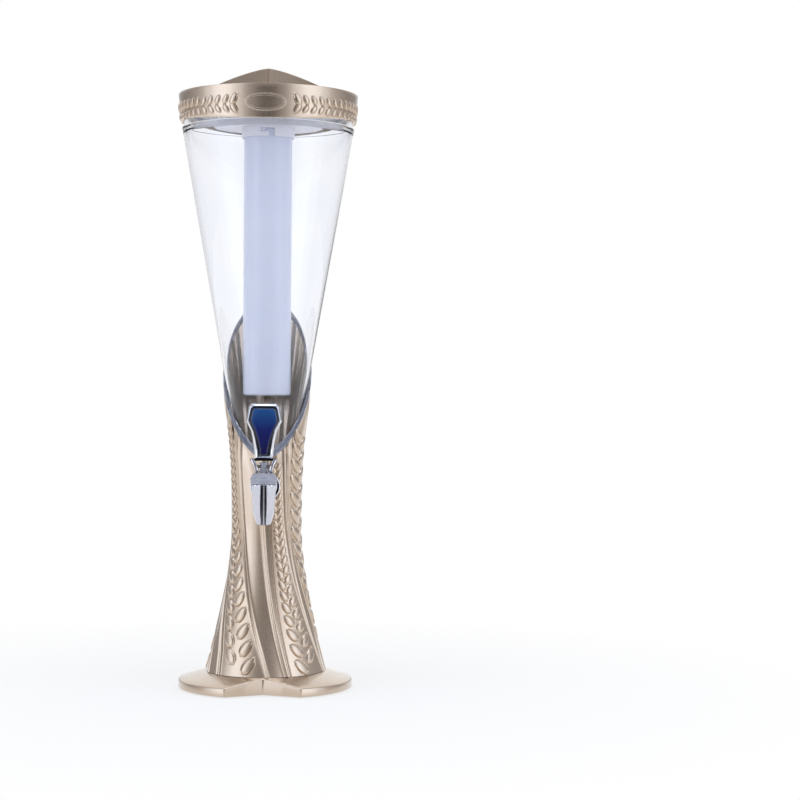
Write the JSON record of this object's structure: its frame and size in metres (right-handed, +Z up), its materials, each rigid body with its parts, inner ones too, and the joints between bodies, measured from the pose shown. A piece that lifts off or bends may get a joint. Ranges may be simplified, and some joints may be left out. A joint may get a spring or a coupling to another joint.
{
  "type": "drink tower dispenser",
  "caption": "Table-top drink tower: clear cone in a fluted column on a round base, with a lever tap, a hanging ice tube and a lift-off lid.",
  "frame": {"origin": "middle of the footprint, on the surface that the feet stand on", "axes": "+Z up, -Y towards the tap (front), +X to the right as seen from the tap side"},
  "size_m": [0.179, 0.179, 0.6177],
  "materials": {
    "champagne": "satin champagne-gold metallic lacquer on ABS",
    "black_plastic": "fine spark-eroded grain",
    "steel": "plain zinc-plated or stainless",
    "clear": "polished clear polycarbonate",
    "silicone": "translucent white silicone",
    "chrome": "mirror chrome",
    "frosted": "translucent light grey moulding",
    "blue_panel": "glossy, shading from blue to navy",
    "milky": "milky translucent",
    "rubber": "matt"
  },
  "bodies": {
    "tower": {"base_plate": "champagne", "column_shell": "champagne", "base_cover": "black_plastic", "vessel_lock_nut": "black_plastic", "ballast_ring": "steel", "cover_screws": "steel", "column_screws": "steel", "tap_nut": "steel", "tap_spring": "steel", "vessel": "clear", "opening_trim": "clear", "vessel_washer": "silicone", "tap_gasket_outer": "silicone", "tap_gasket_inner": "silicone", "bonnet_washer": "silicone", "tap_body": "chrome", "tap_bonnet": "frosted", "foot_1": "rubber", "foot_2": "rubber", "foot_3": "rubber", "foot_4": "rubber", "foot_5": "rubber"},
    "stem": {"tap_stem": "frosted", "valve_seal": "silicone", "pivot_pin": "steel"},
    "lever": {"tap_yoke": "chrome", "tap_handle": "chrome", "handle_inlay": "blue_panel"},
    "lid": {"lid_band": "champagne", "lid_crown": "champagne", "lid_plug": "frosted", "lid_seal": "silicone", "lid_screws": "steel", "ice_tube_seal": "silicone"},
    "ice_tube": {"ice_tube": "milky"}
  },
  "joints": [
    {"name": "stem_lift", "type": "slide", "parent": "tower", "child": "stem", "axis": [0, 0, 1], "range_m": [0, 0.0025], "deforming": ["tap_spring"]},
    {"name": "lever_swing", "type": "hinge", "parent": "stem", "child": "lever", "pos_m": [0, -0.075, 0.223], "axis": [1, 0, 0], "range_deg": [0, 50], "stiffness_Nm_per_rad": 0.4, "springref_deg": -28.65},
    {"name": "lid_lift", "type": "slide", "parent": "tower", "child": "lid", "axis": [0, 0, 1], "range_m": [0, 0.3]},
    {"name": "tube_twist", "type": "hinge", "parent": "lid", "child": "ice_tube", "pos_m": [0, 0, 0.555], "axis": [0, 0, 1], "range_deg": [0, 18]}
  ],
  "couplings": [
    {"joint": "stem_lift", "follows": "lever_swing", "m_per_rad": 0.0028648}
  ]
}
